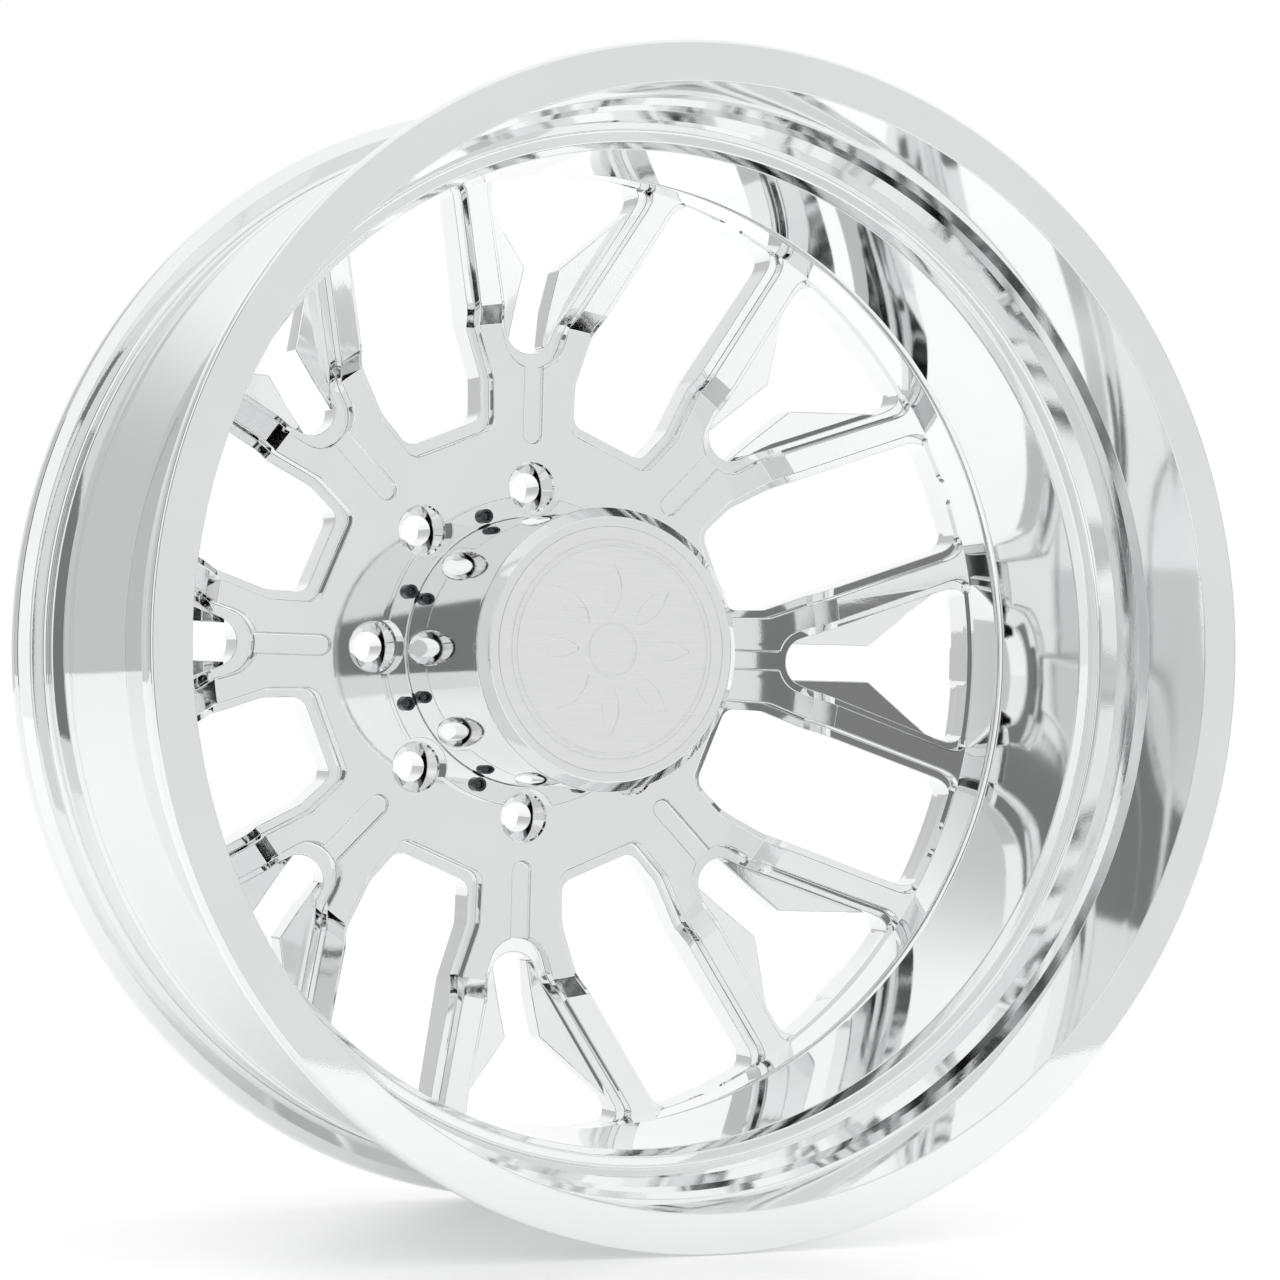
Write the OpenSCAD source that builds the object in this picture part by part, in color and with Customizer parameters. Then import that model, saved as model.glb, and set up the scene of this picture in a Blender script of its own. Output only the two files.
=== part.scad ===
// Forged deep-dish wheel, 24 x 9 in, eight Y spokes, with its cap and tyre valve.
// The wheel's axle is the Y axis. The origin is the centre of the hub bore on the mounting face,
// and the open dish looks along -Y. Each module is drawn with its axle on Z and turned by on_axle().

/* [Rim] */
// Diameter of the bead seats
bead_seat_d = 614.4; // [600:0.1:630]
// Width between the flanges
rim_width = 228.6; // [220:0.1:240]
// Height of the flanges above the bead seats
flange_h = 17.3; // [16:0.1:18]
// Thickness of each flange
flange_t = 14; // [13:0.5:15]
// Distance of the mounting face behind the rim's middle
inset = 177; // [175:1:179]
// Thickness of the metal under the bead seats
seat_wall = 5.6; // [5:0.1:6.5]
// Depth of the drop centre below the bead seats
drop_depth = 22.2; // [20:0.1:23]
// Thickness of the drop centre
drop_wall = 6; // [5:0.1:7]

/* [Centre] */
// Thickness of the hub pad
pad_t = 30; // [28:1:32]
// Diameter of the hub bore
hub_bore_d = 142; // [138:0.1:144]
// Number of spokes and of wheel studs
spokes = 8; // [8:1:8]
// Pitch circle diameter of the wheel studs
stud_pcd = 200; // [198:0.1:202]
// Diameter of the stud holes
stud_hole_d = 18; // [16:0.1:19]
// Diameter of the conical seats at the pad's face
stud_seat_d = 30; // [28:0.5:30]
// Width of the milled ledge around the windows
ledge = 5.5; // [4:0.5:6]
// Depth of the ledge below the spokes' faces
ledge_depth = 9; // [7:0.5:12]
// Depth of the fins behind the forks, below the spokes' faces
fin_depth = 16; // [14:0.5:20]
// Width of the groove in each spoke
groove_w = 12; // [10:0.5:14]

/* [Cap] */
// Outer radius of the cap's tube
tube_r = 81.2; // [80:0.1:82]
// Height of the cap above the pad
cap_h = 121.5; // [115:0.5:125]
// Radius of the tube's foot flange
foot_r = 94; // [93:0.5:95]
// Radius of the circle that the cap screws stand on
screw_circle_r = 87; // [86.5:0.1:87.5]

/* [Valve] */
// Radius of the valve stem's thread
stem_r = 4; // [3.9:0.05:4.1]
// Length of the stem above its seat on the rim
stem_len = 11.6; // [11:0.1:12]

/* [Hidden] */
$fn = 96;

seat_r = bead_seat_d / 2;
rim_r = seat_r + flange_h;
rim_len = rim_width + 2 * flange_t;
lip_y = -(inset + rim_len / 2);
back_y = lip_y + rim_len;
bore_r = seat_r - seat_wall;
drop_r = seat_r - drop_depth;
drop_bore_r = drop_r - drop_wall;
pad_y = -pad_t;

// The dish wall, as distances behind the lip and radii
ring_front = 177;
ring_seat_front = 201;
ring_seat_back = 246;
wall_end_r = drop_bore_r - 3;

// The spokes' front and back surfaces, as radii and places on the axle
kink_in_r = 199;
kink_out_r = 210;
kink_rise = 11;
spoke_end_y = lip_y + 222;
window_r = 284;
web_back_y = lip_y + 252;

spoke_step = 360 / spokes;
window_turn = spoke_step / 2;
clear = 0.05;

// Cap: heights are measured along the axle, towards the dish
foot_t = 6;
tube_bore_r = tube_r - 6;
lid_top_y = pad_y - cap_h;
lid_rim_r = tube_r + 1;
lid_seat_y = lid_top_y + 10.5;
lid_face_r = lid_rim_r - 6;
disc_r = lid_face_r - 5.5;
disc_t = 2.5;
lid_screw_circle_r = 45;
plug_len = 16;
o_ring_y = lid_seat_y + 8;

// Valve: its own frame has the rim's dish side at z = 0 and the stem's mouth up
valve_y = lip_y + 122;
valve_seat_r = drop_bore_r - 0.4;
valve_wall_t = 3.4;
grommet_t = 1.2;
stem_foot_z = -(drop_r - valve_seat_r);
stem_bore_r = 2.5;
core_bottom = -1.6;
core_top = stem_len - 2.4;
pin_r = 0.5;
spring_bottom = core_bottom + 2;
spring_top = core_bottom + 7.2;

// ---------- helpers ----------

module on_axle() rotate([-90, 0, 0]) children();

module around(count, first = 0)
    for (i = [0 : count - 1])
        rotate([0, 0, first + i * 360 / count]) children();

// A ring whose wall is listed as [radius, place on the axle]
module turned(points, fn = 192) rotate_extrude($fn = fn) polygon(points);

module tube(r_out, r_in, z0, z1, fn = 96)
    translate([0, 0, z0])
        difference() {
            cylinder(r = r_out, h = z1 - z0, $fn = fn);
            translate([0, 0, -1]) cylinder(r = r_in, h = z1 - z0 + 2, $fn = fn);
        }

function unit(v) = v / norm(v);

// One rounded corner of an outline: the points of the arc that touches both of its sides
function corner(before, here, after, radius) =
    let (a = unit(before - here), b = unit(after - here),
         half = acos(max(-1, min(1, a * b))) / 2,
         cut = radius / tan(half),
         centre = here + unit(a + b) * radius / sin(half),
         start = here + a * cut - centre, end = here + b * cut - centre,
         sweep = 180 - 2 * half, steps = ceil(sweep / 25))
    radius == 0 ? [here] :
    [for (i = [0 : steps])
        let (t = i / steps)
        centre + (start * sin((1 - t) * sweep) + end * sin(t * sweep)) / sin(sweep)];

// An outline given as [x, y, corner radius]
function rounded(points) =
    let (n = len(points))
    [for (i = [0 : n - 1])
        let (p = points[i], q = points[(i + n - 1) % n], r = points[(i + 1) % n])
        each corner([q[0], q[1]], [p[0], p[1]], [r[0], r[1]], p[2])];

function mirrored(points) =
    let (n = len(points))
    concat(points, [for (i = [n - 1 : -1 : 0]) [points[i][0], -points[i][1], points[i][2]]]);

function polar_point(r, angle, round_r) = [r * cos(angle), r * sin(angle), round_r];

// A spoke's edge point, seen from the middle of the window beside the spoke
function beside(along, across, round_r) =
    [along * cos(window_turn) + across * sin(window_turn),
     along * sin(window_turn) - across * cos(window_turn), round_r];

// ---------- rim ----------

module rim_barrel() {
    foot_y = lip_y + flange_t;
    back_foot_y = back_y - flange_t;
    outer = [[rim_r - 3, lip_y], [rim_r, lip_y + 3], [rim_r, lip_y + 9], [rim_r - 3, foot_y - 1.5],
             [rim_r - 7, foot_y], [seat_r + 3, foot_y], [seat_r, foot_y + 3],
             [seat_r, foot_y + 34], [seat_r + 1, foot_y + 38], [seat_r, foot_y + 42],
             [seat_r, foot_y + 54], [seat_r - 2, foot_y + 58], [drop_r + 3, lip_y + 102],
             [drop_r, lip_y + 106], [drop_r, lip_y + 168], [drop_r + 3, lip_y + 172],
             [seat_r - 2, lip_y + 190], [seat_r, lip_y + 194], [seat_r, back_foot_y - 42],
             [seat_r + 1, back_foot_y - 38], [seat_r, back_foot_y - 34], [seat_r, back_foot_y - 3],
             [seat_r + 3, back_foot_y], [rim_r - 7, back_foot_y], [rim_r - 3, back_foot_y + 1.5],
             [rim_r, back_y - 9], [rim_r, back_y - 3], [rim_r - 3, back_y]];
    inner = [[bore_r + 2, back_y], [bore_r, back_y - 3], [bore_r, lip_y + ring_seat_front],
             [wall_end_r, lip_y + ring_front], [drop_bore_r, lip_y + 97], [drop_bore_r + 3.8, lip_y + 91.5],
             [drop_bore_r + 9.8, lip_y + 90], [drop_bore_r + 13.6, lip_y + 77.2],
             [drop_bore_r + 17.4, lip_y + 68], [drop_bore_r + 20, lip_y + 63.6],
             [bore_r - 0.6, lip_y + 57.5], [bore_r - 0.6, lip_y + 1], [bore_r + 0.4, lip_y]];
    color("silver") on_axle()
        difference() {
            turned(concat(outer, inner));
            in_valve_frame() {
                translate([0, 0, -20]) cylinder(r = 5.7, h = 40, $fn = 48);
                cylinder(r = 9.5, h = 8, $fn = 48);
                translate([0, 0, -valve_wall_t - 8]) cylinder(r = 9, h = 8, $fn = 48);
            }
        }
}

// ---------- centre ----------

// Window between the two arms of one spoke. "grow" widens it from the back layer to the front layer.
module fork_window(grow) {
    crotch = 182 - grow * 1.7;
    outline = mirrored([
        [crotch, 10.6 + grow * 0.75, 14.4 + grow * 0.8],
        [201, 17.7 + grow, 10],
        [266, 46 + grow, 0],
        polar_point(window_r, 10.3 + grow * 0.21, 8),
        polar_point(window_r, 5, 0)]);
    polygon(rounded(outline));
}

// Window between two spokes
module spoke_window(grow) {
    outline = mirrored([
        beside(140 - grow, 31 - grow, 9),
        beside(165, 32 - grow, 20),
        beside(199, 43.5 - grow, 40),
        beside(266, 71.5 - grow, 0),
        polar_point(window_r, 6.8 + grow * 0.2, 11),
        polar_point(window_r, 3, 0)]);
    polygon(rounded(outline));
}

// Rear fins that stand into the fork from the back half of each arm
module fork_fins()
    for (side = [-1, 1])
        polygon([[186, side * 23], [187, side * 11.2], [232, side * 11.2],
                 [268, side * 47.6], [262, side * 51], [205, side * 34]]);

module plan_layer(grow, height)
    linear_extrude(height = height)
        difference() {
            circle(r = window_r + 8, $fn = 192);
            around(spokes) fork_window(grow);
            around(spokes, window_turn) spoke_window(grow);
        }

// The pad and the spokes before the windows are cut, with their front face lowered by "depth"
module web_body(depth)
    turned([[hub_bore_d / 2, pad_y + depth], [kink_in_r, pad_y + depth],
            [kink_out_r, pad_y - kink_rise + depth], [window_r + 3, spoke_end_y + depth],
            [window_r + 3, web_back_y], [203, -2.5], [140, 0], [hub_bore_d / 2, 0]]);

module centre_ring()
    turned([[wall_end_r + 0.6, lip_y + ring_front + 0.6],
            [bore_r, lip_y + ring_seat_front + 0.6],
            [bore_r, lip_y + ring_seat_back], [window_r, lip_y + ring_seat_back + 2],
            [window_r, lip_y + 238], [window_r - 2.5, lip_y + 222]]);

// Shallow steps milled into the ring beside the outer ends of the windows
module ring_pockets()
    intersection() {
        turned([[270, lip_y + 222.5], [window_r + 0.6, lip_y + 222.5],
                [window_r + 0.6, lip_y + 233.5], [270, lip_y + 233.5]]);
        translate([0, 0, lip_y + 210])
            linear_extrude(height = 40) {
                around(spokes) wedge(-10.9, 10.9);
                around(spokes, window_turn) {
                    wedge(-7.4, -1.1);
                    wedge(1.1, 7.4);
                }
            }
    }

module wedge(from, to)
    polygon([for (p = [[200, from], [300, from], [300, to], [200, to]]) p[0] * [cos(p[1]), sin(p[1])]]);

module stud_hole() {
    translate([stud_pcd / 2, 0, pad_y - 1])
        cylinder(r = stud_hole_d / 2, h = pad_t + 2, $fn = 64);
    seat_depth = (stud_seat_d - stud_hole_d) / 2 * 1.732;
    translate([stud_pcd / 2, 0, pad_y])
        cylinder(r1 = stud_seat_d / 2, r2 = stud_hole_d / 2, h = seat_depth, $fn = 64);
    translate([stud_pcd / 2, 0, pad_y - 1])
        cylinder(r = stud_seat_d / 2, h = 1, $fn = 64);
}

module spoke_groove()
    translate([0, 0, pad_y - 1]) {
        translate([126.5 + groove_w / 2, 0, 0]) cylinder(r = groove_w / 2, h = 4.5, $fn = 48);
        translate([126.5 + groove_w / 2, -groove_w / 2, 0]) cube([50, groove_w, 4.5]);
    }

module wheel_centre() {
    color("gainsboro") on_axle()
        difference() {
            union() {
                intersection() {
                    web_body(0);
                    translate([0, 0, -200]) plan_layer(ledge, 200);
                }
                intersection() {
                    web_body(ledge_depth);
                    translate([0, 0, -200]) plan_layer(0, 200);
                }
                intersection() {
                    web_body(fin_depth);
                    translate([0, 0, -200]) linear_extrude(height = 200) around(spokes) fork_fins();
                }
                centre_ring();
            }
            around(spokes) stud_hole();
            around(spokes) spoke_groove();
            ring_pockets();
            around(spokes, window_turn)
                translate([screw_circle_r, 0, pad_y - 1]) cylinder(r = 2.5 + clear, h = 17, $fn = 24);
        }
}

module centre_weld()
    color("darkgray") on_axle()
        turned([[bore_r, lip_y + ring_seat_back], [bore_r, lip_y + ring_seat_back + 5],
                [bore_r - 6, lip_y + ring_seat_back + 0.71]]);

// ---------- cap ----------

module cap_body()
    color("whitesmoke") on_axle()
        difference() {
            turned([[tube_bore_r, lid_seat_y], [tube_r, lid_seat_y], [tube_r, pad_y - foot_t - 1.2],
                    [tube_r + 1.2, pad_y - foot_t], [foot_r - 1, pad_y - foot_t], [foot_r, pad_y - foot_t + 1],
                    [foot_r, pad_y], [tube_bore_r + 5, pad_y], [tube_bore_r + 5, pad_y - 1],
                    [tube_bore_r, pad_y - 1]]);
            around(spokes)
                translate([stud_pcd / 2, 0, pad_y - foot_t - 1]) cylinder(r = 17.5, h = foot_t + 2, $fn = 64);
            around(spokes, window_turn)
                translate([screw_circle_r, 0, pad_y - foot_t - 1]) cylinder(r = 2.75, h = foot_t + 2, $fn = 24);
        }

module cap_gasket()
    color("dimgray") on_axle() tube(tube_bore_r + 5, tube_bore_r + 0.5, pad_y - 1, pad_y, 192);

module cap_screws()
    color("lightsteelblue") on_axle()
        around(spokes, window_turn)
            translate([screw_circle_r, 0, pad_y - foot_t])
                difference() {
                    union() {
                        translate([0, 0, -5]) cylinder(r = 4.25, h = 5, $fn = 32);
                        cylinder(r = 2.5, h = foot_t + 12, $fn = 32);
                    }
                    translate([0, 0, -6]) cylinder(r = 2.3, h = 3.5, $fn = 6);
                }

module cap_lid() {
    plug_r = tube_bore_r - 0.1;
    plug_end = lid_seat_y + plug_len;
    color("whitesmoke") on_axle()
        difference() {
            turned([[0, lid_top_y + disc_t], [disc_r + clear, lid_top_y + disc_t], [disc_r + clear, lid_top_y],
                    [lid_face_r, lid_top_y], [lid_rim_r, lid_top_y + 6], [lid_rim_r, lid_seat_y],
                    [plug_r, lid_seat_y], [plug_r, o_ring_y - 1.5], [plug_r - 2.15, o_ring_y - 1.5],
                    [plug_r - 2.15, o_ring_y + 1.5], [plug_r, o_ring_y + 1.5], [plug_r, plug_end - 1],
                    [plug_r - 1, plug_end], [plug_r - 7, plug_end], [plug_r - 7, lid_top_y + disc_t + 5.5],
                    [0, lid_top_y + disc_t + 5.5]]);
            around(3, 90)
                translate([lid_screw_circle_r, 0, lid_top_y + disc_t]) {
                    translate([0, 0, -1]) cylinder(r = 2.1, h = 8, $fn = 32);
                    translate([0, 0, 3.4]) cylinder(r1 = 2.1, r2 = 4.2, h = 2.1, $fn = 32);
                }
        }
}

module lid_o_ring()
    color("dimgray") on_axle()
        rotate_extrude($fn = 192) translate([tube_bore_r - 1.13, o_ring_y]) circle(r = 1.1, $fn = 32);

// A plain eight-leaved rosette is milled into the disc's face
module emblem_disc()
    color("gainsboro") on_axle()
        difference() {
            translate([0, 0, lid_top_y]) cylinder(r = disc_r, h = disc_t, $fn = 192);
            translate([0, 0, lid_top_y - 1]) {
                tube(56, 54.5, 0, 1.6, 192);
                tube(16, 14.5, 0, 1.6);
                around(spokes)
                    linear_extrude(height = 1.6)
                        polygon([[20, 0], [34, 6.5], [51, 0], [34, -6.5]]);
            }
            around(3, 90)
                translate([lid_screw_circle_r, 0, lid_top_y + disc_t - 1.2]) cylinder(r = 2, h = 2, $fn = 32);
        }

module emblem_screws()
    color("lightsteelblue") on_axle()
        around(3, 90)
            translate([lid_screw_circle_r, 0, lid_top_y + disc_t])
                difference() {
                    union() {
                        translate([0, 0, -1.2]) cylinder(r = 2, h = 6.7, $fn = 32);
                        translate([0, 0, 3.5]) cylinder(r1 = 2, r2 = 4, h = 2, $fn = 32);
                    }
                    translate([0, 0, 4.2]) cylinder(r = 1.44, h = 2, $fn = 6);
                }

// ---------- tyre valve ----------

module in_valve_frame()
    translate([-valve_seat_r, 0, valve_y]) rotate([0, 90, 0]) children();

module valve_stem()
    color("silver") on_axle() in_valve_frame()
        turned([[1.5, stem_foot_z], [7.4, stem_foot_z], [8, stem_foot_z + 0.6], [8, -valve_wall_t - grommet_t],
                [stem_r, -valve_wall_t - grommet_t], [stem_r, stem_len - 0.8], [stem_r - 0.8, stem_len],
                [stem_bore_r, stem_len], [stem_bore_r, core_bottom - 4], [1.5, core_bottom - 4.4]], 64);

module valve_grommet()
    color("dimgray") on_axle() in_valve_frame()
        turned([[stem_r, -valve_wall_t - grommet_t], [8, -valve_wall_t - grommet_t], [8, -valve_wall_t],
                [5.6, -valve_wall_t], [5.6, -0.5], [stem_r, -0.5]], 64);

module valve_washer()
    color("silver") on_axle() in_valve_frame() tube(8, stem_r + clear, 0, 1, 64);

module valve_nut()
    color("silver") on_axle() in_valve_frame()
        difference() {
            translate([0, 0, 1]) cylinder(r = 6.9, h = 3.5, $fn = 6);
            cylinder(r = stem_r + clear, h = 10, $fn = 48);
        }

module valve_core_body()
    color("goldenrod") on_axle() in_valve_frame()
        turned([[pin_r + 0.25, core_bottom], [2.3, core_bottom], [2.3, core_bottom + 2.5], [2.1, core_bottom + 2.5],
                [2.1, core_bottom + 4.5], [2.45, core_bottom + 4.5], [2.45, core_top], [1.7, core_top],
                [1.7, core_bottom + 2], [pin_r + 0.25, core_bottom + 2]], 48);

module valve_core_seal()
    color("white") on_axle() in_valve_frame() tube(stem_bore_r, 2.1, core_bottom + 2.5, core_bottom + 4.5, 48);

module valve_core_pin()
    color("goldenrod") on_axle() in_valve_frame()
        turned([[0, core_bottom - 2.4], [1.6, core_bottom - 2.4], [1.6, core_bottom - 1.6], [pin_r, core_bottom - 1.6],
                [pin_r, spring_top], [1.5, spring_top], [1.5, spring_top + 0.8], [pin_r, spring_top + 0.8],
                [pin_r, stem_len - 1], [0, stem_len - 0.8]], 48);

module valve_pin_seal()
    color("dimgray") on_axle() in_valve_frame() tube(1.7, pin_r, core_bottom - 1.6, core_bottom, 48);

module valve_core_spring() {
    turns = 6;
    per_turn = 10;
    sides = 6;
    coil_r = 1.1;
    wire_r = 0.17;
    count = turns * per_turn;
    low = spring_bottom + wire_r;
    high = spring_top - wire_r;
    points = [for (i = [0 : count], j = [0 : sides - 1])
        let (a = i * 360 / per_turn, b = j * 360 / sides, r = coil_r + wire_r * cos(b))
        [r * cos(a), r * sin(a), low + (high - low) * i / count + wire_r * sin(b)]];
    walls = [for (i = [0 : count - 1], j = [0 : sides - 1])
        let (k = (j + 1) % sides)
        [i * sides + j, (i + 1) * sides + j, (i + 1) * sides + k, i * sides + k]];
    ends = [[for (j = [0 : sides - 1]) j], [for (j = [sides - 1 : -1 : 0]) count * sides + j]];
    color("lightsteelblue") on_axle() in_valve_frame() polyhedron(points, concat(walls, ends), convexity = 10);
}

module valve_cap()
    color("silver") on_axle() in_valve_frame()
        turned([[stem_r + clear, stem_len - 6.4], [5.4, stem_len - 6.4], [5.4, stem_len + 1.9],
                [4.4, stem_len + 2.9], [0, stem_len + 2.9], [0, stem_len + 0.9], [stem_r + clear, stem_len + 0.9]], 64);

module valve_cap_seal()
    color("dimgray") on_axle() in_valve_frame()
        translate([0, 0, stem_len + 0.1]) cylinder(r = stem_r, h = 0.8, $fn = 64);

rim_barrel();
wheel_centre();
centre_weld();
cap_body();
cap_gasket();
cap_screws();
cap_lid();
lid_o_ring();
emblem_disc();
emblem_screws();
valve_stem();
valve_grommet();
valve_washer();
valve_nut();
valve_core_body();
valve_core_seal();
valve_core_pin();
valve_pin_seal();
valve_core_spring();
valve_cap();
valve_cap_seal();
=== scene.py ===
import math

import bpy
from mathutils import Matrix, Vector


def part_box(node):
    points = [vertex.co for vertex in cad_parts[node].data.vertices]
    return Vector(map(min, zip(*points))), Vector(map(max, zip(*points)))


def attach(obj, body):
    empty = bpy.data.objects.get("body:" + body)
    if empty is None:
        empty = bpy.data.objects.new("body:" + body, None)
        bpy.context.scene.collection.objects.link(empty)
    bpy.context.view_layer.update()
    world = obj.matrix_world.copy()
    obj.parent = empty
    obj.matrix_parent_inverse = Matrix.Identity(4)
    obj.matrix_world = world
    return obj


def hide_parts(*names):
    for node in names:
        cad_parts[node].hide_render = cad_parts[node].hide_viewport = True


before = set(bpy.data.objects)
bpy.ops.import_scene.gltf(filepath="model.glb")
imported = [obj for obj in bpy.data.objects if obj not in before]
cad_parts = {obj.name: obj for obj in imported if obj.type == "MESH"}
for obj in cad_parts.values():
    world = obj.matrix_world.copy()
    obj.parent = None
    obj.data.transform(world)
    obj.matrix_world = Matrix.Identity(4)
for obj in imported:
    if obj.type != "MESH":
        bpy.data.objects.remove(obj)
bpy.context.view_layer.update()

# ---------------------------------------------------------------- viewpoint
# The wheel stands on its tread on a pale floor. The camera is level with the axle, a little to the
# left, so that it looks into the dish and along the outside of the rim. A long lens keeps it calm.

rim_radius = 0.3245
lip_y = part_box("rim_barrel")[0].y
back_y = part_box("rim_barrel")[1].y

azimuth = math.radians(-25.428)
elevation = math.radians(-1.623)
roll = math.radians(1.376)
right = Vector((math.cos(azimuth), math.sin(azimuth), 0))
back = Vector((math.sin(azimuth) * math.cos(elevation), -math.cos(azimuth) * math.cos(elevation),
               math.sin(elevation)))
up = back.cross(right)
camera_right = right * math.cos(roll) + up * math.sin(roll)
camera_up = up * math.cos(roll) - right * math.sin(roll)

bpy.ops.object.camera_add()
camera = bpy.context.object
camera.name = "camera"
camera.data.sensor_width = 36
camera.data.lens = 99.03
place = Vector((0, lip_y, 0)) + rim_radius * (5.7997 * back - 0.1549 * camera_right + 0.0096 * camera_up)
turn = Matrix((camera_right, camera_up, back)).transposed()
camera.matrix_world = Matrix.Translation(place) @ turn.to_4x4()
camera.data.clip_end = 100
bpy.context.scene.camera = camera

# ---------------------------------------------------------------- rim barrel
# The outer rim is forged 6061 aluminium, flow formed and turned on a lathe, then polished to a
# mirror. It is one ring: two flanges, two bead seats with humps, a drop centre and the dish wall.


def deselect_all():
    if bpy.context.object and bpy.context.object.mode != "OBJECT":
        bpy.ops.object.mode_set(mode="OBJECT")
    bpy.ops.object.select_all(action="DESELECT")


def linear(hex_code):
    """An sRGB colour such as "C0C4C8" as linear red, green, blue and alpha."""
    channels = [int(hex_code[i:i + 2], 16) / 255 for i in (0, 2, 4)]
    return [c / 12.92 if c <= 0.04045 else ((c + 0.055) / 1.055) ** 2.4 for c in channels] + [1.0]


def node(material, kind, settings=None, **inputs):
    """Adds a node. "settings" are its properties. An input takes a value or a socket, and n0 is the first."""
    made = material.node_tree.nodes.new(kind)
    for name, value in (settings or {}).items():
        setattr(made, name, value)
    for name, value in inputs.items():
        socket = made.inputs[int(name[1:]) if name.startswith("n") else name.replace("_", " ")]
        if isinstance(value, bpy.types.NodeSocket):
            material.node_tree.links.new(value, socket)
        else:
            socket.default_value = value
    return made


def round_corners(points, steps=5):
    """Turns [(x, y, radius), ...] into a line of (x, y) with an arc at each corner that has a radius."""
    line = []
    for i, (x, y, radius) in enumerate(points):
        here = Vector((x, y))
        if radius == 0:
            line.append(here)
            continue
        before = Vector(points[i - 1][:2]) - here
        after = Vector(points[(i + 1) % len(points)][:2]) - here
        before.normalize()
        after.normalize()
        half = before.angle(after) / 2
        cut = radius / math.tan(half)
        middle = here + (before + after).normalized() * (radius / math.sin(half))
        start = here + before * cut - middle
        end = here + after * cut - middle
        sweep = math.pi - 2 * half
        for k in range(steps + 1):
            t = k / steps
            arm = start * math.sin((1 - t) * sweep) + end * math.sin(t * sweep)
            line.append(middle + arm / math.sin(sweep))
    return line


def turn_on_axle(name, points, steps=256, closed=True, fillet_steps=5):
    """A solid turned about the axle, from its outline as (radius, place on the axle, fillet) in mm."""
    deselect_all()
    line = round_corners(points, fillet_steps)
    bpy.ops.mesh.primitive_plane_add(size=0.01, location=(0, 0, 0))
    piece = bpy.context.object
    piece.name = name
    bpy.ops.object.mode_set(mode="EDIT")
    bpy.ops.mesh.merge(type="CENTER")
    bpy.ops.transform.translate(value=(line[0].x / 1000, line[0].y / 1000, 0))
    for here, after in zip(line, line[1:]):
        step = ((after.x - here.x) / 1000, (after.y - here.y) / 1000, 0)
        bpy.ops.mesh.extrude_region_move(TRANSFORM_OT_translate={"value": step})
    bpy.ops.mesh.select_all(action="SELECT")
    if closed:
        bpy.ops.mesh.edge_face_add()
        bpy.ops.mesh.delete(type="ONLY_FACE")
        bpy.ops.mesh.select_all(action="SELECT")
    bpy.ops.mesh.spin(steps=steps, angle=math.tau, center=(0, 0, 0), axis=(0, 1, 0))
    bpy.ops.mesh.select_all(action="SELECT")
    bpy.ops.mesh.remove_doubles(threshold=0.000001)
    bpy.ops.mesh.normals_make_consistent(inside=False)
    bpy.ops.object.mode_set(mode="OBJECT")
    return piece


def finish_shading(piece, angle=32):
    deselect_all()
    piece.select_set(True)
    bpy.context.view_layer.objects.active = piece
    bpy.ops.object.shade_smooth_by_angle(angle=math.radians(angle))
    bpy.ops.object.modifier_add(type="WEIGHTED_NORMAL")
    piece.modifiers[-1].keep_sharp = True
    bpy.ops.object.modifier_apply(modifier=piece.modifiers[-1].name)


lip = lip_y * 1000
seat_r = 307.2
drop_r = 285
rear = back_y * 1000
barrel_outline = [
    (302.0, lip, 0.8), (324.5, lip, 2.6), (324.5, lip + 9.5, 4.2), (317.2, lip + 14, 1.2),
    (seat_r, lip + 14, 3.5), (seat_r, lip + 46, 6), (seat_r + 1, lip + 51, 5), (seat_r, lip + 56, 6),
    (seat_r, lip + 70, 7), (drop_r, lip + 105, 9), (drop_r, lip + 169, 9), (seat_r, lip + 194, 7),
    (seat_r, rear - 56, 6), (seat_r + 1, rear - 51, 5), (seat_r, rear - 46, 6), (seat_r, rear - 14, 3.5),
    (317.2, rear - 14, 1.2), (324.5, rear - 9.5, 4.2), (324.5, rear, 2.6), (302.6, rear, 1.2),
    (301.6, rear - 4, 3), (301.6, lip + 201, 0), (276.2, lip + 177, 0.5),
    (279, lip + 97, 3), (282.8, lip + 91, 1.5), (288.9, lip + 91, 2.2), (292.8, lip + 77.2, 2.5),
    (296.5, lip + 68.1, 2), (299, lip + 63.6, 2), (302.0, lip + 57.5, 2),
]
barrel = turn_on_axle("rim_barrel_polished", barrel_outline, steps=256)
finish_shading(barrel)


def dress(piece, material):
    piece.data.materials.clear()
    piece.data.materials.append(material)
    for face in piece.data.polygons:
        face.material_index = 0


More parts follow.
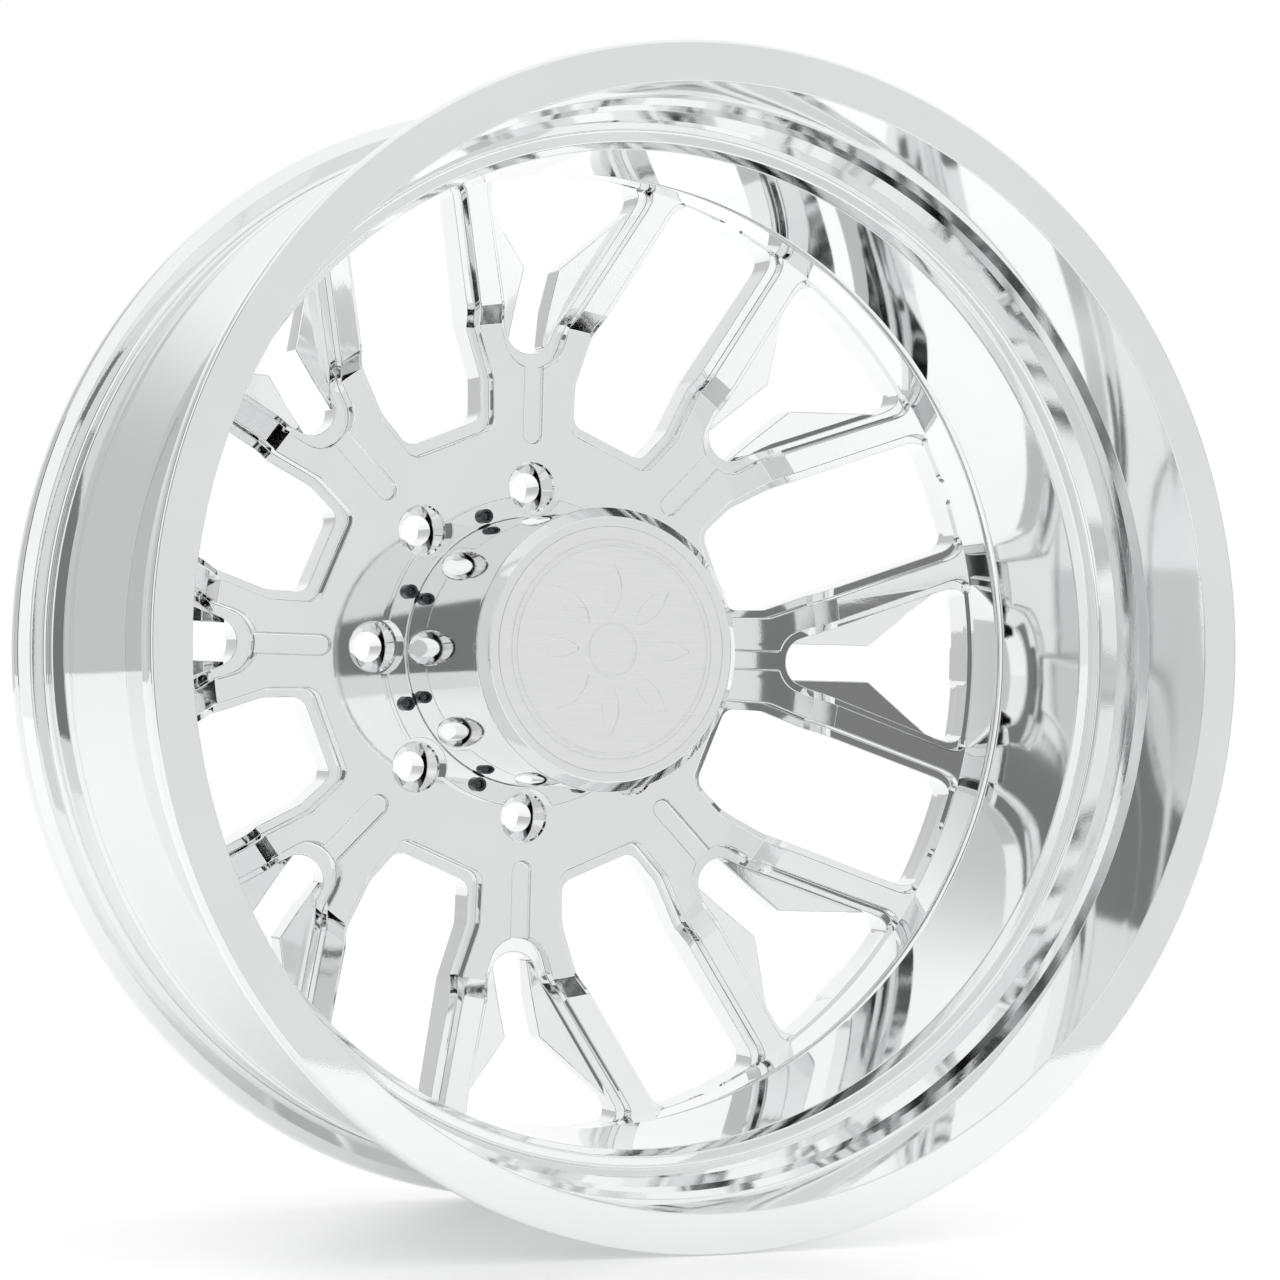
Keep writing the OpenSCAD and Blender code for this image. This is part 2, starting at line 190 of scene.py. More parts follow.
def polished_aluminium(name, base, roughness, grain):
    """Mirror-polished metal. Fine turning lines left under the polish shake the reflection a little."""
    material = bpy.data.materials.new(name)
    material.use_nodes = True
    shader = material.node_tree.nodes["Principled BSDF"]
    shader.inputs["Metallic"].default_value = 1.0
    place_on_piece = node(material, "ShaderNodeTexCoord")
    lines = node(material, "ShaderNodeTexNoise", Vector=place_on_piece.outputs["Object"], Scale=grain, Detail=3.0)
    cloud = node(material, "ShaderNodeTexNoise", Vector=place_on_piece.outputs["Object"], Scale=14.0, Detail=4.0)
    tone = node(material, "ShaderNodeMix", {"data_type": "RGBA"}, n0=cloud.outputs["Fac"])
    tone.inputs[6].default_value = linear(base[0])
    tone.inputs[7].default_value = linear(base[1])
    links = material.node_tree.links
    links.new(tone.outputs[2], shader.inputs["Base Color"])
    gloss = node(material, "ShaderNodeMapRange", Value=lines.outputs["Fac"],
                 To_Min=roughness[0], To_Max=roughness[1])
    links.new(gloss.outputs["Result"], shader.inputs["Roughness"])
    relief = node(material, "ShaderNodeBump", Height=lines.outputs["Fac"], Strength=0.05, Distance=0.00008)
    links.new(relief.outputs["Normal"], shader.inputs["Normal"])
    return material


barrel_metal = polished_aluminium("polished_forged_aluminium", ("EEEFEF", "F6F7F7"), (0.01, 0.05), 900.0)
dress(barrel, barrel_metal)
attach(barrel, "wheel")
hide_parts("rim_barrel")

# ---------------------------------------------------------------- wheel centre
# The centre is one forging of 6061 aluminium, milled on all sides and polished: the hub pad with its
# stud holes, eight forked spokes with a stepped edge round each window, and the ring welded to the rim.

pad_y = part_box("cap_body")[1].y * 1000
pad_radius = 71
window_r = 284.6
ledge = 5.5
ledge_depth = 9
spoke_step = math.tau / 8
face_line = [(0, pad_y), (199, pad_y), (210, pad_y - 11), (287, lip + 222), (330, lip + 198.4)]
back_line = [(0, 0), (140, 0), (203, -2.5), (287, lip + 252), (330, lip + 278)]


def height_on(line, radius):
    for (r0, y0), (r1, y1) in zip(line, line[1:]):
        if radius <= r1:
            return y0 + (y1 - y0) * (radius - r0) / (r1 - r0)
    return line[-1][1]


def boolean(piece, tool, operation="DIFFERENCE"):
    deselect_all()
    piece.select_set(True)
    bpy.context.view_layer.objects.active = piece
    bpy.ops.object.modifier_add(type="BOOLEAN")
    change = piece.modifiers[-1]
    change.operation = operation
    change.solver = "MANIFOLD"
    change.object = tool
    bpy.ops.object.modifier_apply(modifier=change.name)
    bpy.data.objects.remove(tool)


def polar(radius, degrees, corner=0):
    return (radius * math.cos(math.radians(degrees)), radius * math.sin(math.radians(degrees)), corner)


def both_sides(points):
    return points + [(x, -y, corner) for x, y, corner in reversed(points)]


def fork_outline(grow):
    """The window between the two arms of one spoke."""
    return both_sides([
        (182 - grow * 1.7, 10.6 + grow * 0.75, 14.4 + grow * 0.8), (201, 17.7 + grow, 10), (266, 46 + grow, 0),
        polar(window_r, 10.3 + grow * 0.21, 8), polar(window_r, 5)])


def gap_outline(grow):
    """The window between two spokes."""
    turn = spoke_step / 2

    def beside(along, across, corner):
        return (along * math.cos(turn) + across * math.sin(turn),
                along * math.sin(turn) - across * math.cos(turn), corner)

    return both_sides([
        beside(140 - grow, 31 - grow, 9), beside(165, 32 - grow, 20), beside(199, 43.5 - grow, 40),
        beside(266, 71.5 - grow, 0), polar(window_r, 6.8 + grow * 0.2, 11), polar(window_r, 3)])


def fine_outline(points, lengths_of):
    """Rounds an outline and divides its straight sides into steps of about 3 mm."""
    line = round_corners(points, 7)
    guide = round_corners(lengths_of, 7)
    fine = []
    for i, here in enumerate(line):
        after = line[(i + 1) % len(line)]
        count = max(1, round((guide[(i + 1) % len(line)] - guide[i]).length / 3))
        for k in range(count):
            point = here.lerp(after, k / count)
            if point.length > window_r - 0.8:
                point = point.normalized() * window_r
            fine.append(point)
    return fine


def round_the_axle(point, y, angle):
    """A point of an outline in mm, at its place on the axle, turned about the axle, in metres."""
    return ((point.x * math.cos(angle) - point.y * math.sin(angle)) / 1000, y / 1000,
            (point.x * math.sin(angle) + point.y * math.cos(angle)) / 1000)


def closed_shape(name, points, faces):
    """A closed solid from its corners and faces, with every face turned outwards."""
    mesh = bpy.data.meshes.new(name)
    mesh.from_pydata(points, [], faces)
    shape = bpy.data.objects.new(name, mesh)
    bpy.context.scene.collection.objects.link(shape)
    deselect_all()
    shape.select_set(True)
    bpy.context.view_layer.objects.active = shape
    bpy.ops.object.mode_set(mode="EDIT")
    bpy.ops.mesh.select_all(action="SELECT")
    bpy.ops.mesh.normals_make_consistent(inside=False)
    bpy.ops.object.mode_set(mode="OBJECT")
    return shape


def milling_shape(name, outline, levels, copies, first=0.0):
    """What an end mill clears. A level is (growth of the outline, surface it follows, depth below it)."""
    narrow = fine_outline(outline(0), outline(0))
    wide = fine_outline(outline(ledge), outline(0))
    points, faces = [], []
    for copy in range(copies):
        angle = first + copy * math.tau / copies
        start = len(points)
        count = len(narrow)
        for grow, surface, depth in levels:
            for a, b in zip(narrow, wide):
                p = a + (b - a) * (grow / ledge)
                y = depth if surface is None else height_on(surface, p.length) + depth
                points.append(round_the_axle(p, y, angle))
        for ring in range(len(levels) - 1):
            low, high = start + ring * count, start + (ring + 1) * count
            faces += [(low + i, low + (i + 1) % count, high + (i + 1) % count, high + i) for i in range(count)]
        faces.append([start + i for i in reversed(range(count))])
        faces.append([start + (len(levels) - 1) * count + i for i in range(count)])
    return closed_shape(name, points, faces)


def rounded_edge(grow, surface, depth, radius, side):
    """Levels that round the edge of a surface. side is -1 at the front and 1 at the back."""
    return [(grow + radius * (1 - math.sin(math.radians(a))), surface,
             depth - side * radius * (1 - math.cos(math.radians(a)))) for a in (20, 45, 70, 90)]


window_levels = [(ledge + 4, None, -120), (ledge + 4, face_line, -3.2)]
window_levels += rounded_edge(ledge, face_line, 0, 1.1, -1)
window_levels += [(ledge, face_line, ledge_depth - 0.7), (ledge - 0.2, face_line, ledge_depth - 0.2),
                  (ledge - 0.7, face_line, ledge_depth)]
window_levels += rounded_edge(0, face_line, ledge_depth, 0.9, -1)
window_levels += rounded_edge(0, back_line, 0, 1.0, 1)[::-1]
window_levels += [(4, back_line, 3.2), (4, None, 20)]

web_outline = [
    (pad_radius, pad_y, 1.0), (199, pad_y, 0.8), (210, pad_y - 11, 0.8), (288.5, lip + 221.2, 0),
    (288.5, lip + 252.8, 0), (203, -2.5, 3), (140, 0, 6), (pad_radius, 0, 1.5)]
centre = turn_on_axle("wheel_centre_milled", web_outline, steps=240)
boolean(centre, milling_shape("fork_windows", fork_outline, window_levels, 8))
boolean(centre, milling_shape("gap_windows", gap_outline, window_levels, 8, spoke_step / 2))

# Two thin fins stand in each fork, one on each side, set back from the front face.
fin_set_back = 16
fin_corners = ((186, 23), (187, 11.2), (209, 11.2), (232, 11.2), (250, 29.4), (268, 47.6), (262, 51), (205, 34))
fin_points, fin_faces = [], []
for arm in range(8):
    for side in (-1, 1):
        outline = [Vector((u, side * v)) for u, v in fin_corners]
        start = len(fin_points)
        for surface, depth in ((face_line, fin_set_back), (back_line, -0.4)):
            for p in outline:
                fin_points.append(round_the_axle(p, height_on(surface, p.length) + depth, arm * spoke_step))
        fin_faces.append([start + i for i in range(8)])
        fin_faces.append([start + 8 + i for i in reversed(range(8))])
        fin_faces += [(start + i, start + (i + 1) % 8, start + 8 + (i + 1) % 8, start + 8 + i) for i in range(8)]
fork_fins = closed_shape("fork_fins", fin_points, fin_faces)
bpy.ops.object.mode_set(mode="EDIT")
bpy.ops.mesh.select_all(action="SELECT")
bpy.ops.mesh.bevel(offset=0.0009, segments=3, affect="EDGES")
bpy.ops.object.mode_set(mode="OBJECT")
boolean(centre, fork_fins, "UNION")

ring_outline = [
    (276.8, lip + 177.6, 5), (301.5, lip + 201.4, 0), (301.5, lip + 246, 0.4), (284, lip + 248, 0.8),
    (284, lip + 239, 3), (283.2, lip + 224, 0.8), (281.7, lip + 222.2, 0.8)]
boolean(centre, turn_on_axle("centre_ring", ring_outline, steps=256), "UNION")


def ring_pocket(first, last, step=0.35):
    """A shallow step with round ends, milled into the ring from one angle to another."""
    middle, half, start_r, end_r = lip + 228, 5.5, 270, window_r + 0.6
    count = round((last - first) / step)
    points, faces = [], []
    for i in range(count + 1):
        angle = math.radians(first + (last - first) * i / count)
        from_end = min(i, count - i) / count * math.radians(last - first) * window_r
        reach = math.sqrt(max(0.5, half ** 2 - max(0, half - from_end) ** 2))
        for r, y in ((start_r, middle - reach), (end_r, middle - reach),
                     (end_r, middle + reach), (start_r, middle + reach)):
            points.append((r * math.cos(angle) / 1000, y / 1000, r * math.sin(angle) / 1000))
        if i:
            a, b = 4 * (i - 1), 4 * i
            faces += [(a + k, a + (k + 1) % 4, b + (k + 1) % 4, b + k) for k in range(4)]
    faces += [(3, 2, 1, 0), tuple(4 * count + k for k in range(4))]
    return closed_shape("ring_pocket", points, faces)


at_the_fork = (-10.9, 10.9)
beside_the_gap = ((15.1, 21.4), (23.6, 29.9))
for spoke in range(8):
    for first, last in (at_the_fork, *beside_the_gap):
        boolean(centre, ring_pocket(45 * spoke + first, 45 * spoke + last))


def copies_round(tool, radius, count, first=0.0):
    """Copies of one shape, each with its own mesh, on a circle about the axle, joined."""
    tool.data.transform(Matrix.Translation((radius / 1000, 0, 0)))
    made = []
    for i in range(count):
        copy = tool.copy()
        copy.data = tool.data.copy()
        copy.data.transform(Matrix.Rotation(-(first + i * math.tau / count), 4, "Y"))
        bpy.context.scene.collection.objects.link(copy)
        made.append(copy)
    bpy.data.objects.remove(tool)
    deselect_all()
    for copy in made:
        copy.select_set(True)
    bpy.context.view_layer.objects.active = made[0]
    bpy.ops.object.join()
    return made[0]


stud_circle_r = 100
stud_seat = turn_on_axle("stud_seat", [
    (0, pad_y - 5, 0), (19, pad_y - 5, 0), (15.3, pad_y, 1.5), (14.2, pad_y + 1.2, 0.8), (9, pad_y + 10.2, 1.5),
    (9, -1, 0.5), (12, 2, 0), (0, 2, 0)], steps=64, closed=False)
boolean(centre, copies_round(stud_seat, stud_circle_r, 8))


def groove_outline(grow):
    width = 6 + grow
    return [(190, -width, 0), (190, width, 0), (132.5, width, 0), (132.5 - width, width, width * 0.98),
            (132.5 - width, -width, width * 0.98), (132.5, -width, 0)]


groove_levels = [(4, None, pad_y - 20), (4, None, pad_y - 3.2)]
groove_levels += [(g, None, pad_y + y) for g, _, y in rounded_edge(0, None, 0, 0.8, -1)]
groove_levels += [(0, None, pad_y + 2.4), (-0.35, None, pad_y + 3.15), (-1.2, None, pad_y + 3.5)]
boolean(centre, milling_shape("spoke_grooves", groove_outline, groove_levels, 8))
finish_shading(centre)

centre_metal = polished_aluminium("polished_milled_aluminium", ("EEEFEF", "F6F7F7"), (0.02, 0.07), 700.0)
dress(centre, centre_metal)
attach(centre, "wheel")
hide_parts("wheel_centre")

# ---------------------------------------------------------------- weld
# The centre's ring is joined to the barrel at the back by one TIG bead all round. It is left as
# welded, dull and with the small ripples of each dab of filler rod.

bead_outline = [
    (301.55, lip + 246, 0), (301.55, lip + 250.6, 1.0), (298.2, lip + 249.4, 2.2), (295.8, lip + 246.6, 0.4)]
bead = turn_on_axle("weld_bead", bead_outline, steps=720, fillet_steps=3)
ripple_pitch = math.tau / 180
ripple_height = 0.0002
for vertex in bead.data.vertices:
    across = Vector((vertex.co.x, 0, vertex.co.z))
    if across.length < 0.3012 and vertex.co.y > (lip + 246.8) / 1000:
        wave = math.sin(math.atan2(vertex.co.z, vertex.co.x) / ripple_pitch * math.tau)
        vertex.co.y += ripple_height * wave
finish_shading(bead, 50)


def uneven(name, dark, light, gloss_range, grain, detail=2.0, metallic=1.0, stretch=None):
    """A material whose colour and gloss wander together, as "grain" spots to the metre, and that pattern."""
    material = bpy.data.materials.new(name)
    material.use_nodes = True
    links = material.node_tree.links
    shader = material.node_tree.nodes["Principled BSDF"]
    shader.inputs["Metallic"].default_value = metallic
    place_on_piece = node(material, "ShaderNodeTexCoord").outputs["Object"]
    if stretch:
        stretched = node(material, "ShaderNodeMapping", Vector=place_on_piece, Scale=stretch)
        place_on_piece = stretched.outputs["Vector"]
    cloud = node(material, "ShaderNodeTexNoise", Vector=place_on_piece, Scale=grain, Detail=detail)
    tone = node(material, "ShaderNodeMix", {"data_type": "RGBA"}, n0=cloud.outputs["Fac"])
    tone.inputs[6].default_value = linear(dark)
    tone.inputs[7].default_value = linear(light)
    links.new(tone.outputs[2], shader.inputs["Base Color"])
    if gloss_range:
        gloss = node(material, "ShaderNodeMapRange", Value=cloud.outputs["Fac"],
                     To_Min=gloss_range[0], To_Max=gloss_range[1])
        links.new(gloss.outputs["Result"], shader.inputs["Roughness"])
    return material, cloud.outputs["Fac"]


weld_metal, _ = uneven("as_welded_aluminium", "A9ABAE", "CFD0D2", (0.3, 0.5), 60.0, 5.0)
dress(bead, weld_metal)
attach(bead, "wheel")
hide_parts("centre_weld")

# ---------------------------------------------------------------- hub cap
# A tube turned from aluminium bar, polished inside and out, with a scalloped foot that clears the wheel
# nuts. Eight socket screws, zinc plated and passivated black, hold the foot to the pad over a gasket.

tube_r = 81.2
foot_top = pad_y - 6
lid_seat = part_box("cap_body")[0].y * 1000
cap_outline = [
    (tube_r - 6, lid_seat, 0.4), (tube_r, lid_seat, 0.5), (tube_r, foot_top, 1.1), (94, foot_top, 0.9),
    (94, pad_y, 0.3), (tube_r - 1, pad_y, 0.2), (tube_r - 1, pad_y - 1, 0), (tube_r - 6, pad_y - 1, 0.4)]
cap_tube = turn_on_axle("cap_tube", cap_outline, steps=256)

scallop = turn_on_axle("scallop", [
    (0, foot_top - 2, 0), (19.4, foot_top - 2, 0), (17.5, foot_top + 0.35, 0.9), (17.5, pad_y + 2, 0),
    (0, pad_y + 2, 0)], steps=96, closed=False)
boolean(cap_tube, copies_round(scallop, stud_circle_r, 8))
screw_circle_r = 87
screw_hole = turn_on_axle("screw_hole", [
    (0, foot_top - 1, 0), (3.6, foot_top - 1, 0), (2.75, foot_top + 0.3, 0.2), (2.75, pad_y + 1, 0),
    (0, pad_y + 1, 0)], steps=32, closed=False)
boolean(cap_tube, copies_round(screw_hole, screw_circle_r, 8, spoke_step / 2))
finish_shading(cap_tube)

cap_metal = polished_aluminium("polished_bar_aluminium", ("ECEDED", "F4F5F5"), (0.02, 0.06), 800.0)
dress(cap_tube, cap_metal)
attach(cap_tube, "wheel")
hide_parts("cap_body")

cap_screw = turn_on_axle("cap_screw", [
    (0, foot_top - 2.4, 0), (1.9, foot_top - 2.4, 0), (2.45, foot_top - 2.9, 0), (2.45, foot_top - 4.8, 0.15),
    (2.75, foot_top - 5, 0.1), (4.25, foot_top - 5, 0.7), (4.25, foot_top, 0.15), (2.5, foot_top, 0),
    (2.5, foot_top + 17, 0), (1.7, foot_top + 18, 0), (0, foot_top + 18, 0)],
    steps=48, closed=False, fillet_steps=2)
finish_shading(cap_screw, 40)
hex_cut = turn_on_axle("hex_cut", [
    (0, foot_top - 6, 0), (2.42, foot_top - 6, 0), (2.42, foot_top - 2.2, 0), (0, foot_top - 2.2, 0)],
    steps=6, closed=False)
boolean(cap_screw, hex_cut)
cap_screws = copies_round(cap_screw, screw_circle_r, 8, spoke_step / 2)
cap_screws.name = "cap_socket_screws"

black_zinc, _ = uneven("black_passivated_zinc", "3A3B3D", "5A5C5F", (0.18, 0.34), 400.0)
dress(cap_screws, black_zinc)
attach(cap_screws, "wheel")
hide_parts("cap_screws")

# ---------------------------------------------------------------- cap lid
# The lid is turned from the same bar, bevelled and polished. It plugs into the tube on an O-ring and
# lifts off. A thin disc with a milled rosette is let into its face and screwed on from behind.

lid_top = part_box("cap_lid")[0].y * 1000
plug_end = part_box("cap_lid")[1].y * 1000
o_ring_y = (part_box("lid_o_ring")[0].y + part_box("lid_o_ring")[1].y) * 500
disc_r = 70.7
plug_r = tube_r - 6.1
lid_outline = [
    (0, lid_top + 2.5, 0), (disc_r + 0.06, lid_top + 2.5, 0), (disc_r + 0.06, lid_top, 0.35),
    (76.2, lid_top, 1.2), (82.2, lid_top + 6, 1.6), (82.2, lid_seat, 0.7), (plug_r, lid_seat, 0.2),
    (plug_r, o_ring_y - 1.5, 0.2),
    (plug_r - 2.15, o_ring_y - 1.5, 0.2), (plug_r - 2.15, o_ring_y + 1.5, 0.2), (plug_r, o_ring_y + 1.5, 0.2),
    (plug_r, plug_end, 1.2), (plug_r - 7, plug_end, 1.0), (plug_r - 7, lid_top + 8, 2.5), (0, lid_top + 8, 0)]
lid = turn_on_axle("cap_lid_turned", lid_outline, steps=256, closed=False, fillet_steps=4)
finish_shading(lid)
dress(lid, cap_metal)
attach(lid, "lid")
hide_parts("cap_lid")

disc_outline = [(0, lid_top, 0), (disc_r, lid_top, 0.3), (disc_r, lid_top + 2.45, 0), (0, lid_top + 2.45, 0)]
disc = turn_on_axle("rosette_disc", disc_outline, steps=256, closed=False)


def leaf_outline(grow):
    """One leaf of the rosette."""
    near, far = 21 - grow, 50 + grow
    return both_sides([(near, 0.6, 0), (28, 4.6 + grow, 14), (38, 5.6 + grow, 18), (far - 1, 0.6, 0)])


leaf_levels = [(1.2, None, lid_top - 2), (1.2, None, lid_top - 0.6)]
leaf_levels += [(0.25, None, lid_top + 0.1), (0, None, lid_top + 0.35), (-0.15, None, lid_top + 0.75),
                (-0.5, None, lid_top + 0.85)]
boolean(disc, milling_shape("rosette_leaves", leaf_outline, leaf_levels, 8))
for groove_r, width in ((60, 0.7), (63, 0.35), (15, 0.6)):
    ring = turn_on_axle("rosette_ring", [
        (groove_r - width - 0.4, lid_top - 0.5, 0), (groove_r + width + 0.4, lid_top - 0.5, 0),
        (groove_r + width * 0.6, lid_top + 0.55, 0.2), (groove_r - width * 0.6, lid_top + 0.55, 0.2)],
        steps=192, fillet_steps=3)
    boolean(disc, ring)
finish_shading(disc)

# Brushed across, so the lines run one way and catch the light in streaks.
disc_metal, brush = uneven("brushed_anodised_aluminium", "E9EAEA", "F8F8F8", (0.24, 0.36), 1.0, 3.0,
                           stretch=(30.0, 1.0, 1400.0))
brush_relief = node(disc_metal, "ShaderNodeBump", Height=brush, Strength=0.15, Distance=0.0001)
disc_shader = disc_metal.node_tree.nodes["Principled BSDF"]
disc_metal.node_tree.links.new(brush_relief.outputs["Normal"], disc_shader.inputs["Normal"])
dress(disc, disc_metal)
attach(disc, "lid")
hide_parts("emblem_disc")

# ---------------------------------------------------------------- seals
# A thin rubber gasket under the cap's foot, an O-ring in the lid's groove, and the valve's two small
# seals. All are moulded nitrile, matt black with a fine bloom. Three black screws hold the lid's disc.

rubber, _ = uneven("nitrile_rubber", "161616", "2A2A2A", (0.45, 0.65), 120.0, 4.0, metallic=0.0)
for name in ("cap_gasket", "lid_o_ring", "valve_pin_seal", "valve_cap_seal"):
    dress(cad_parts[name], rubber)
dress(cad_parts["emblem_screws"], black_zinc)

# ---------------------------------------------------------------- tyre valve
# A short nickel-plated brass stem, clamped through the dish wall by a nut, with its foot let into the
# drop centre. The core inside has a sprung pin, and a knurled cap screws over the mouth.

dish_wall_r = 278.6
valve_behind_lip = 122
stem_r = 4.0
valve_place = (Matrix.Translation((-dish_wall_r / 1000, (lip + valve_behind_lip) / 1000, 0))
               @ Matrix.Rotation(-math.pi / 2, 4, "Z"))


def stand_on_valve(piece):
    """Takes a piece turned about the axle, with its heights from the dish wall, to the valve."""
    piece.data.transform(valve_place)
    return piece


def ring_thread(bottom, top, crest, depth=0.35, pitch=1.0):
    """An outline of thread crests and roots, as plain rings, from one height to another."""
    count = round((top - bottom) / pitch)
    points = []
    for i in range(count):
        y = bottom + (top - bottom) * i / count
        points += [(crest - depth, y + 0.05, 0), (crest, y + 0.4, 0.08), (crest, y + 0.6, 0.08),
                   (crest - depth, y + 0.95, 0)]
    return points


stem_outline = [
    (1.5, -6.4, 0), (7.4, -6.4, 0), (8, -5.8, 0.2), (8, -4.6, 0.1), (stem_r, -4.6, 0), (stem_r, -0.4, 0)]
stem_outline += ring_thread(0, 11, stem_r)
stem_outline += [(3.5, 11.3, 0), (3.2, 11.6, 0.1), (2.5, 11.6, 0.1), (2.5, -5.6, 0), (1.5, -6.0, 0)]
stem = stand_on_valve(turn_on_axle("valve_stem_threaded", stem_outline, steps=96, fillet_steps=2))
finish_shading(stem, 40)

washer_outline = [(4.05, 0, 0), (8, 0, 0.2), (8, 1, 0.3), (4.05, 1, 0.1)]
washer = stand_on_valve(turn_on_axle("valve_washer", washer_outline, steps=96, fillet_steps=2))
finish_shading(washer, 40)

nut = turn_on_axle("valve_hex_nut", [(0, 1, 0), (6.9, 1, 0), (6.9, 4.5, 0), (0, 4.5, 0)], steps=6, closed=False)
chamfer = turn_on_axle("nut_chamfer", [
    (0, 0.98, 0), (6.4, 0.98, 0), (7.2, 1.45, 0), (7.2, 4.05, 0), (6.4, 4.52, 0), (0, 4.52, 0)],
    steps=64, closed=False)
boolean(nut, chamfer, "INTERSECT")
nut_bore = turn_on_axle("nut_bore", [(0, 0, 0), (4.05, 0, 0), (4.05, 6, 0), (0, 6, 0)], steps=64, closed=False)
boolean(nut, nut_bore)
stand_on_valve(nut)
finish_shading(nut, 30)

grommet_outline = [
    (4, -4.6, 0), (8, -4.6, 0.3), (8, -3.4, 0.3), (5.6, -3.4, 0.3), (5.6, -0.5, 0.4), (4, -0.5, 0.2)]
grommet = stand_on_valve(turn_on_axle("valve_grommet_moulded", grommet_outline, steps=64, fillet_steps=2))
finish_shading(grommet, 40)

cap_shell = turn_on_axle("valve_cap_knurled", [
    (4.05, 5.2, 0.1), (5.1, 5.2, 0.1), (5.4, 5.5, 0), (5.4, 6.4, 0), (5.15, 6.7, 0), (5.4, 7.0, 0),
    (5.4, 12.9, 0), (5.1, 13.3, 0.2), (4.4, 14.5, 0.6), (0, 14.5, 0), (0, 12.5, 0), (4.05, 12.5, 0.1)],
    steps=96, closed=False, fillet_steps=2)
# The knurl: two columns of points in every four are drawn in, which leaves 24 ribs.
for vertex in cap_shell.data.vertices:
    across = Vector((vertex.co.x, 0, vertex.co.z))
    rib = round(math.atan2(vertex.co.z, vertex.co.x) / math.tau * 96) % 4
    if across.length > 0.00535 and 0.0069 < vertex.co.y < 0.013 and rib > 1:
        across *= 0.94
        vertex.co.x, vertex.co.z = across.x, across.z
stand_on_valve(cap_shell)
finish_shading(cap_shell, 30)

nickel, _ = uneven("nickel_plate", "D4D1CB", "E6E3DD", (0.10, 0.18), 300.0, 3.0)
brass, _ = uneven("turned_brass", "C9A35A", "DDB96C", (0.20, 0.32), 300.0, 3.0)
spring_wire, _ = uneven("spring_wire", "A8AAAE", "C4C6CA", (0.25, 0.38), 300.0, 3.0)
seal_plastic, _ = uneven("white_seal_plastic", "DEDDD8", "F0EFEA", None, 200.0, metallic=0.0)

for piece, material, body, slot, replaced in (
        (stem, nickel, "wheel", "valve_nickel", "valve_stem"),
        (washer, nickel, "wheel", "valve_nickel", "valve_washer"),
        (nut, nickel, "wheel", "valve_nickel", "valve_nut"),
        (grommet, rubber, "wheel", "valve_rubber", "valve_grommet"),
        (cap_shell, nickel, "dust_cap", "valve_nickel", "valve_cap")):
    dress(piece, material)
    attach(piece, body)
    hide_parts(replaced)
for name, material in (("valve_core_body", brass), ("valve_core_pin", brass),
                       ("valve_core_seal", seal_plastic), ("valve_core_spring", spring_wire)):
    dress(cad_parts[name], material)

# ---------------------------------------------------------------- studio
# A white floor, lit softly from all round by the sky, which is darker in front and on the left. A mirror
# shows what surrounds it, so grey and black cards stand round the wheel and give it its dark lines.

bpy.ops.mesh.primitive_plane_add(size=8, location=(0, 2.7, -rim_radius))
floor = bpy.context.object
floor.name = "floor"
paper = bpy.data.materials.new("white_acrylic")
paper.use_nodes = True
paper_shader = paper.node_tree.nodes["Principled BSDF"]
paper_shader.inputs["Base Color"].default_value = linear("FAFAFA")
paper_shader.inputs["Roughness"].default_value = 0.3
paper_shader.inputs["Emission Color"].default_value = linear("FFFFFF")
paper_shader.inputs["Emission Strength"].default_value = 0.2
floor.data.materials.append(paper)

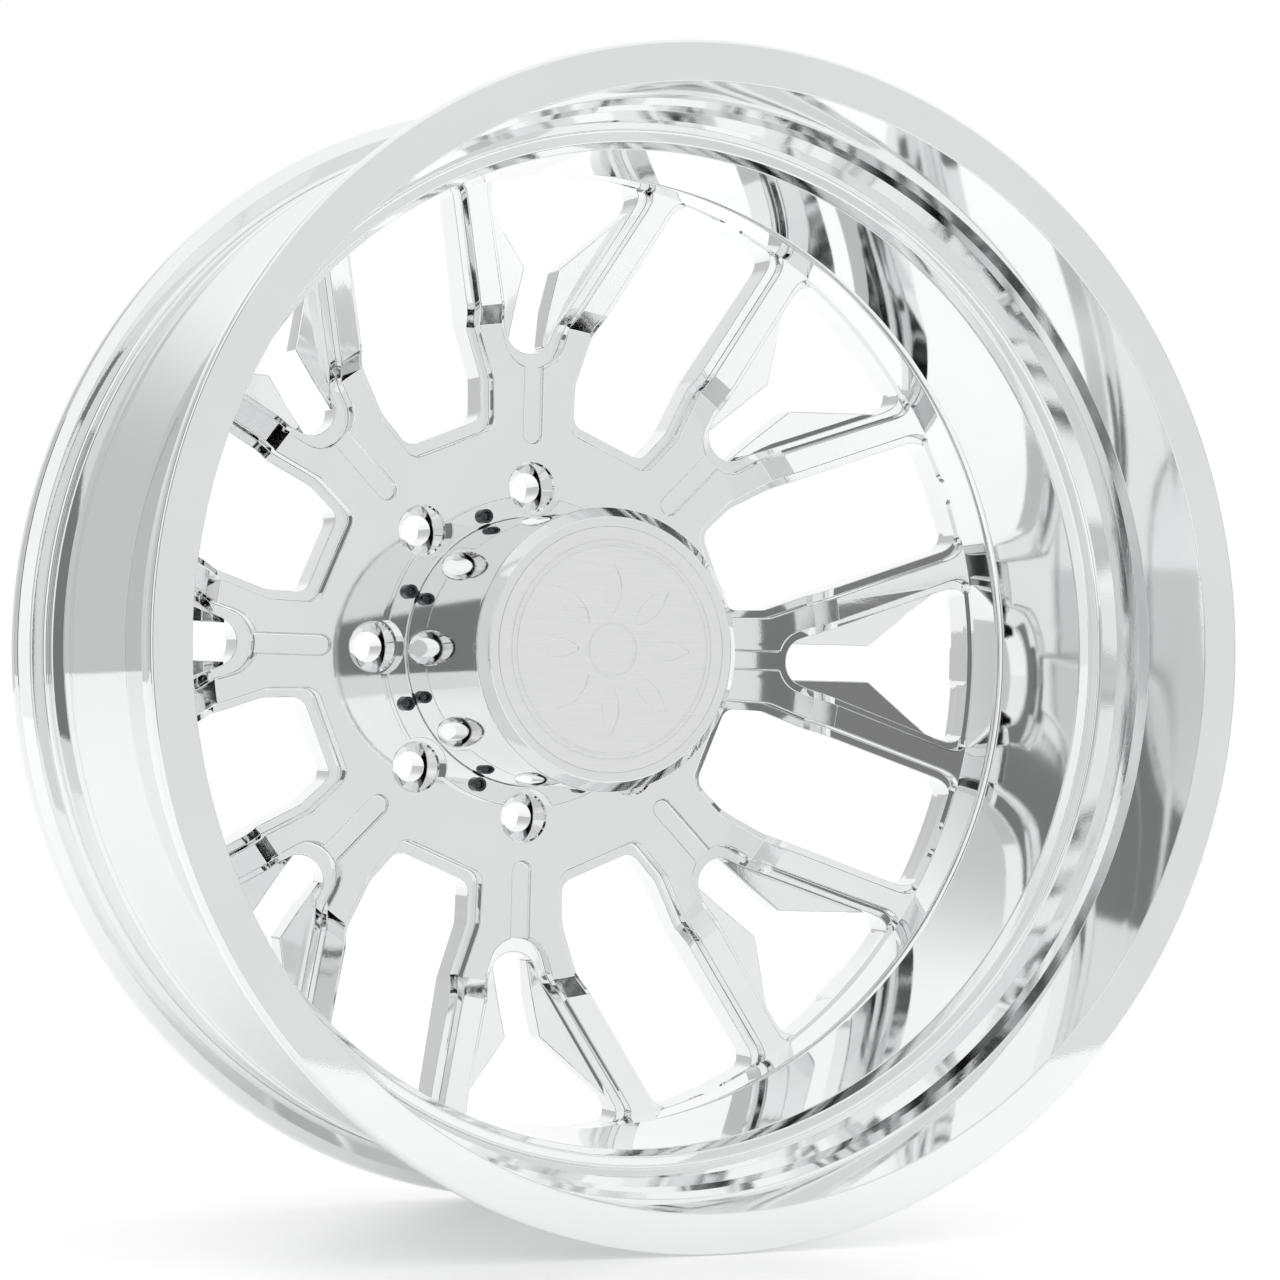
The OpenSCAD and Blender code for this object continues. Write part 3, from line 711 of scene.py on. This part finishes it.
world = bpy.data.worlds.new("white_studio")
world.use_nodes = True
bpy.context.scene.world = world
bpy.context.scene.view_settings.view_transform = "Standard"
background = world.node_tree.nodes["Background"]
direction = node(world, "ShaderNodeTexCoord")


def darker_towards(aim, start, end, level):
    """A grey that is white away from "aim" and falls to "level" close to it."""
    nearness = node(world, "ShaderNodeVectorMath", {"operation": "DOT_PRODUCT"},
                    n0=direction.outputs["Generated"], n1=aim)
    fall = node(world, "ShaderNodeMapRange", {"interpolation_type": "SMOOTHSTEP"},
                Value=nearness.outputs["Value"], From_Min=start, From_Max=end, To_Min=1.0, To_Max=level)
    return fall.outputs["Result"]


in_front = darker_towards((0.26, -0.96, 0.0), 0.45, 0.95, 0.80)
on_left = darker_towards((-0.9, 0.43, 0.0), 0.45, 0.75, 0.60)
both = node(world, "ShaderNodeMath", {"operation": "MULTIPLY"}, n0=in_front, n1=on_left)
world.node_tree.links.new(both.outputs["Value"], background.inputs["Color"])
background.inputs["Strength"].default_value = 1.0


def card(name, place, aim, size, shade):
    """A flat card of cloth, seen only in reflections."""
    bpy.ops.mesh.primitive_plane_add(size=1, location=(0, 0, 0))
    board = bpy.context.object
    board.name = name
    board.data.transform(Matrix.Diagonal((size[0], size[1], 1, 1)))
    facing = (Vector(aim) - Vector(place)).to_track_quat("Z", "Y").to_matrix().to_4x4()
    board.data.transform(Matrix.Translation(place) @ facing)
    cloth = bpy.data.materials.new(name + "_cloth")
    cloth.use_nodes = True
    cloth.node_tree.nodes["Principled BSDF"].inputs["Base Color"].default_value = linear(shade)
    cloth.node_tree.nodes["Principled BSDF"].inputs["Roughness"].default_value = 0.9
    board.data.materials.append(cloth)
    board.visible_camera = False
    board.visible_shadow = False
    board.visible_diffuse = False


card("card_camera", (-1.5, -3.2, 0.7), (0, -0.2, 0), (0.8, 2.4), "808080")
card("card_left", (-3.0, -1.0, 0.3), (0, -0.1, 0), (0.5, 3.0), "181818")
card("card_right", (2.9, -1.5, 0.3), (0, -0.1, 0), (0.35, 3.0), "202020")
card("card_back_left", (-2.3, 2.2, 0.3), (0, -0.1, 0), (0.12, 3.0), "303030")
